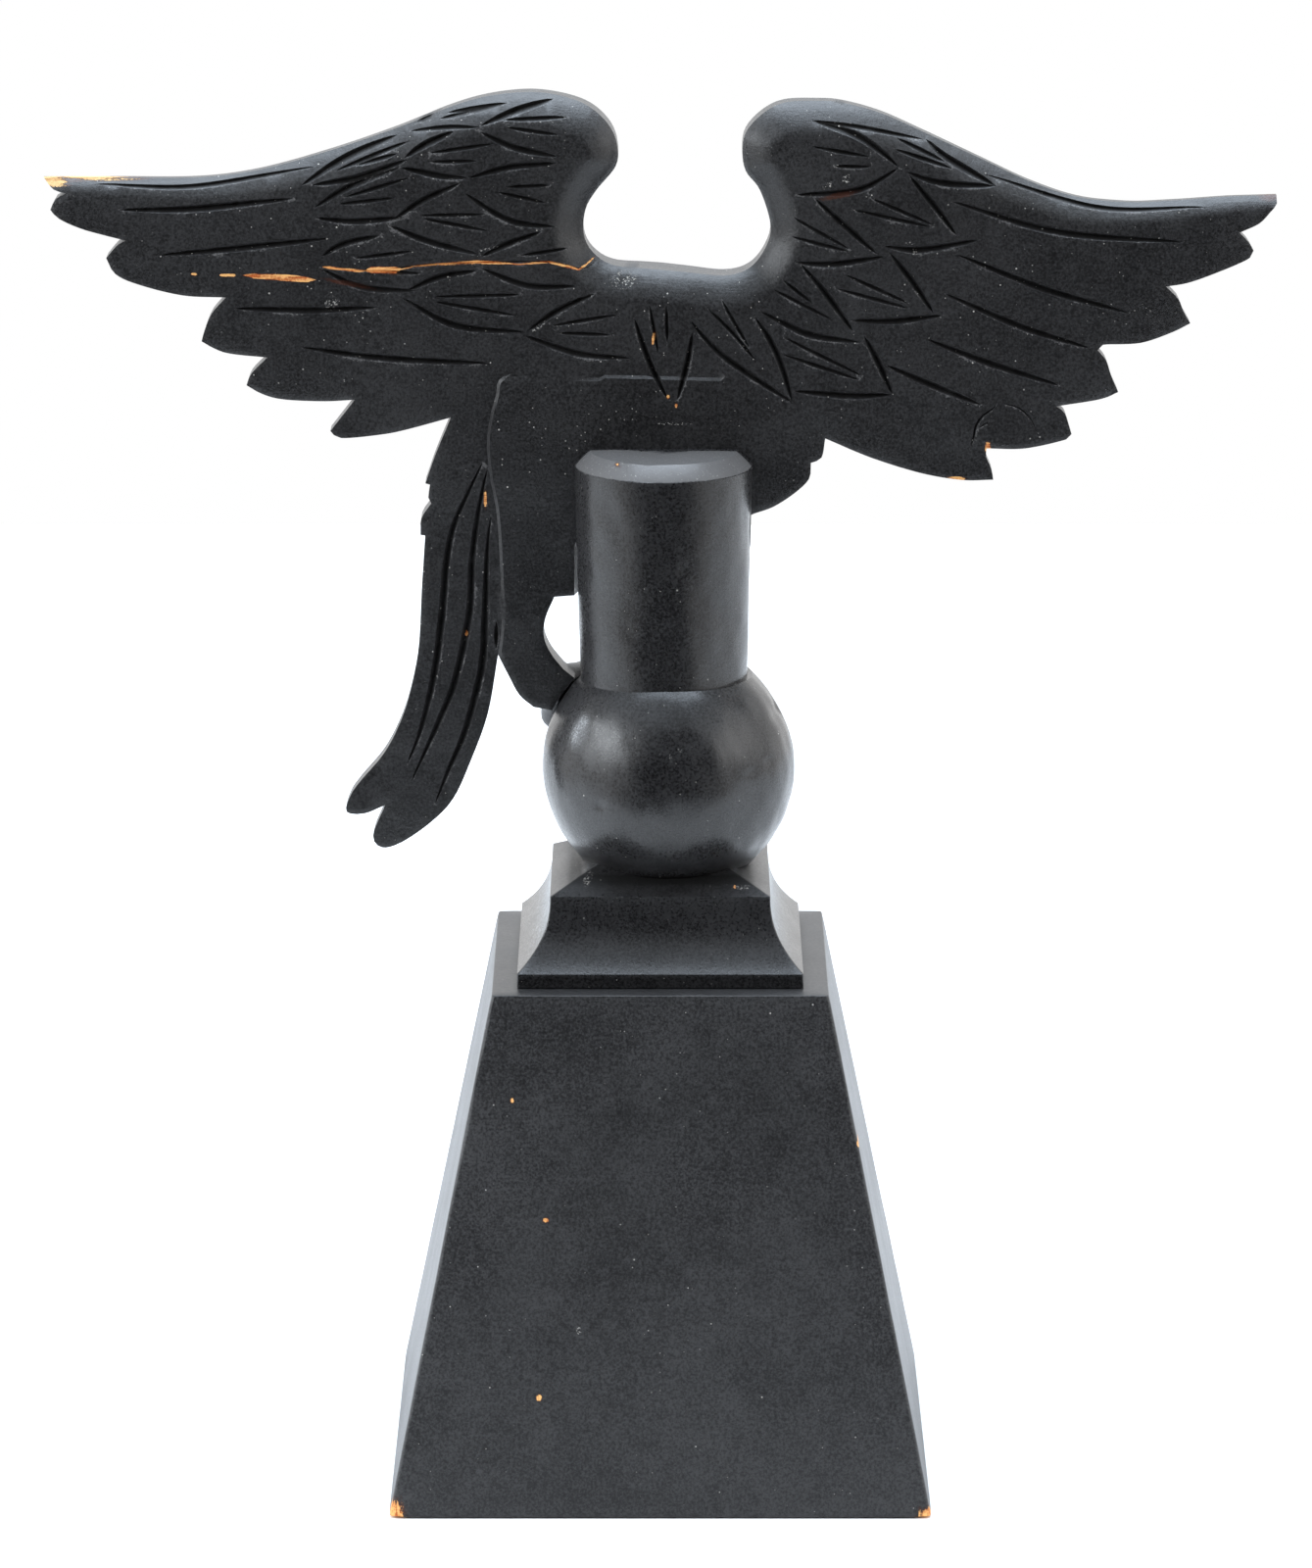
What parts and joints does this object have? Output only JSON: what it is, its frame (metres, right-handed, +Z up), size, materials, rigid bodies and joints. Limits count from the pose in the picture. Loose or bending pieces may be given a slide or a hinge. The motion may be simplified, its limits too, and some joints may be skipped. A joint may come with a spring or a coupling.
{
  "type": "carved wooden eagle on a ball, post and pedestal",
  "caption": "Carved wooden eagle with spread wings, gripping a ball on a post above a tapered square pedestal, all in worn black paint.",
  "frame": {"origin": "middle of the pedestal's underside, on the surface that it stands on", "axes": "+Z up, +X towards the bird's breast and beak along the wing span, +Y out of the carved front; the flat glued back faces -Y"},
  "size_m": [0.346, 0.152, 0.3895],
  "materials": {
    "carving_paint": "satin black paint over carved wood, worn and cracked to bare wood in places",
    "post_paint": "satin black paint over turned wood, dented and chipped",
    "pedestal_paint": "satin black paint with fine upright grain, worn at the lower corners"
  },
  "bodies": {
    "root": {"eagle": "carving_paint", "post": "post_paint", "pedestal": "pedestal_paint"}
  },
  "joints": []
}
